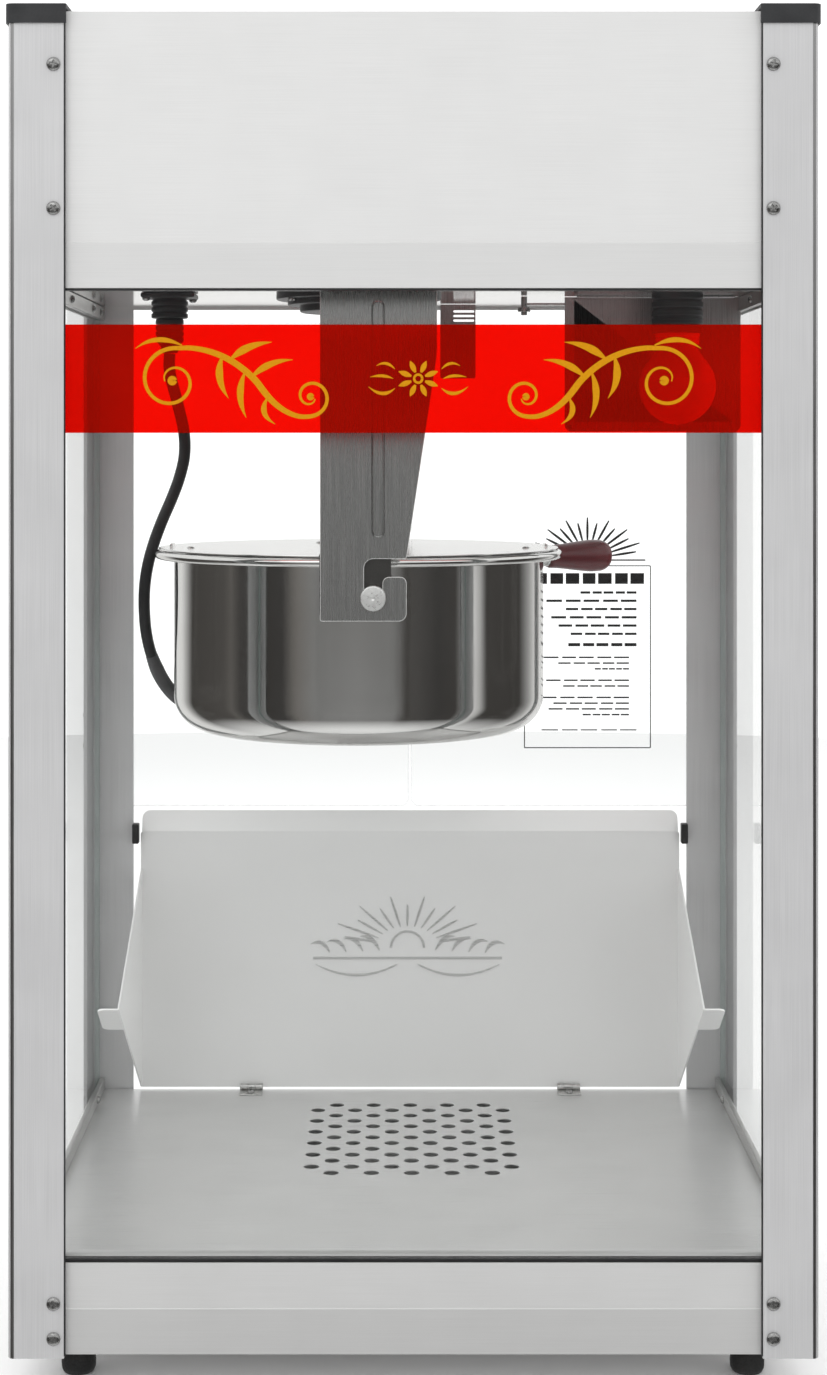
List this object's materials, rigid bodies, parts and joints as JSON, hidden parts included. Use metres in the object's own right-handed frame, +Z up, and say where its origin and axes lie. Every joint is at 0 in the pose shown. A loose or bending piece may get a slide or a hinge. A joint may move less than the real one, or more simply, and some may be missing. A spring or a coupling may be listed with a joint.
{
  "type": "countertop popcorn machine",
  "caption": "Glass-sided countertop popcorn cabinet with a tilting lidded kettle, stirrer drive, clear rear doors, tilt-out flap and kernel drawer.",
  "frame": {"origin": "centre of the bounding box, on the bench", "axes": "+Z up, +X to the right seen from the customer's side, -Y towards the customer, +Y towards the operator"},
  "size_m": [0.5132, 0.417, 0.864],
  "materials": {
    "post_aluminium": "satin anodised, fine lengthwise grain",
    "panel_coat": "pale grey sheet with a fine brushed grain",
    "galvanised_steel": "plain zinc-coated",
    "stainless_steel": "brushed",
    "mirror_steel": "mirror polished",
    "black_plastic": "fine moulded texture",
    "foot_rubber": "matt",
    "lead_rubber": "smooth matt sheath",
    "cabinet_glass": "clear tempered",
    "door_acrylic": "clear polished sheet",
    "red_acrylic": "translucent red, glossy, gold scrolls",
    "bulb_glass": "clear",
    "maroon_phenolic": "satin moulded"
  },
  "bodies": {
    "cabinet": {"post_front_left": "post_aluminium", "cap_front_left": "black_plastic", "foot_front_left": "foot_rubber", "post_front_right": "post_aluminium", "cap_front_right": "black_plastic", "foot_front_right": "foot_rubber", "post_rear_right": "post_aluminium", "cap_rear_right": "black_plastic", "foot_rear_right": "foot_rubber", "post_rear_left": "post_aluminium", "cap_rear_left": "black_plastic", "foot_rear_left": "foot_rubber", "hood_front_panel": "panel_coat", "hood_cover": "panel_coat", "hood_rear_panel": "panel_coat", "base_front_panel": "panel_coat", "base_rear_panel": "panel_coat", "base_pan": "galvanised_steel", "ceiling_panel": "stainless_steel", "deck": "stainless_steel", "hanger_front": "stainless_steel", "hanger_rear": "stainless_steel", "lamp_shield": "stainless_steel", "door_hinge_left_lower": "stainless_steel", "door_hinge_left_upper": "stainless_steel", "door_hinge_right_lower": "stainless_steel", "door_hinge_right_upper": "stainless_steel", "cord_gland": "black_plastic", "drive_housing": "black_plastic", "lamp_socket": "black_plastic", "kettle_socket": "black_plastic", "lead_plug": "black_plastic", "side_glass_left": "cabinet_glass", "side_glass_right": "cabinet_glass", "front_glass": "cabinet_glass", "header_band": "red_acrylic", "gear_motor": "galvanised_steel", "lamp_bulb": "bulb_glass", "kettle_lead": "lead_rubber"},
    "kettle": {"kettle_shell": "mirror_steel", "kettle_pan": "stainless_steel", "kettle_heater": "galvanised_steel", "kettle_crossbar": "stainless_steel", "handle_grip": "maroon_phenolic", "handle_shank": "stainless_steel", "terminal_box": "black_plastic"},
    "lid_left": {"lid_left": "stainless_steel"},
    "lid_right": {"lid_right": "stainless_steel"},
    "stirrer": {"stirrer": "stainless_steel"},
    "drive": {"drive_head": "galvanised_steel"},
    "door_left": {"door_left": "door_acrylic", "door_knob_left": "black_plastic"},
    "door_right": {"door_right": "door_acrylic", "door_knob_right": "black_plastic"},
    "flap": {"flap": "stainless_steel"},
    "drawer": {"drawer": "stainless_steel"},
    "lamp_rocker": {"lamp_rocker": "black_plastic"},
    "kettle_rocker": {"kettle_rocker": "black_plastic"},
    "stirrer_rocker": {"stirrer_rocker": "black_plastic"}
  },
  "joints": [
    {"name": "kettle_tilt", "type": "hinge", "parent": "cabinet", "child": "kettle", "pos_m": [-0.0254, -0.012, 0.4922], "axis": [0, 1, 0], "range_deg": [0, 110], "deforming": ["kettle_lead"]},
    {"name": "lid_left_lift", "type": "hinge", "parent": "kettle", "child": "lid_left", "pos_m": [-0.0605, -0.012, 0.5185], "axis": [0, 1, 0], "range_deg": [0, 80]},
    {"name": "lid_right_lift", "type": "hinge", "parent": "kettle", "child": "lid_right", "pos_m": [-0.0135, -0.012, 0.5185], "axis": [0, -1, 0], "range_deg": [0, 80]},
    {"name": "drive_spin", "type": "hinge", "parent": "cabinet", "child": "drive", "pos_m": [-0.037, -0.012, 0.68], "axis": [0, 0, 1], "continuous": true},
    {"name": "stirrer_spin", "type": "hinge", "parent": "kettle", "child": "stirrer", "pos_m": [-0.037, -0.012, 0.52], "axis": [0, 0, 1], "continuous": true},
    {"name": "door_left_swing", "type": "hinge", "parent": "cabinet", "child": "door_left", "pos_m": [-0.2542, 0.1875, 0.496], "axis": [0, 0, 1], "range_deg": [0, 170]},
    {"name": "door_right_swing", "type": "hinge", "parent": "cabinet", "child": "door_right", "pos_m": [0.2542, 0.1875, 0.496], "axis": [0, 0, -1], "range_deg": [0, 170]},
    {"name": "flap_tilt", "type": "hinge", "parent": "cabinet", "child": "flap", "pos_m": [0, 0.179, 0.086], "axis": [-1, 0, 0], "range_deg": [0, 54]},
    {"name": "drawer_slide", "type": "slide", "parent": "cabinet", "child": "drawer", "axis": [0, 1, 0], "range_m": [0, 0.22]},
    {"name": "lamp_rocker_tip", "type": "hinge", "parent": "cabinet", "child": "lamp_rocker", "pos_m": [-0.06, 0.1797, 0.775], "axis": [-1, 0, 0], "range_deg": [0, 14]},
    {"name": "kettle_rocker_tip", "type": "hinge", "parent": "cabinet", "child": "kettle_rocker", "pos_m": [0, 0.1797, 0.775], "axis": [-1, 0, 0], "range_deg": [0, 14]},
    {"name": "stirrer_rocker_tip", "type": "hinge", "parent": "cabinet", "child": "stirrer_rocker", "pos_m": [0.06, 0.1797, 0.775], "axis": [-1, 0, 0], "range_deg": [0, 14]}
  ],
  "couplings": [
    {"joint": "drive_spin", "follows": "stirrer_spin", "ratio": 1}
  ]
}
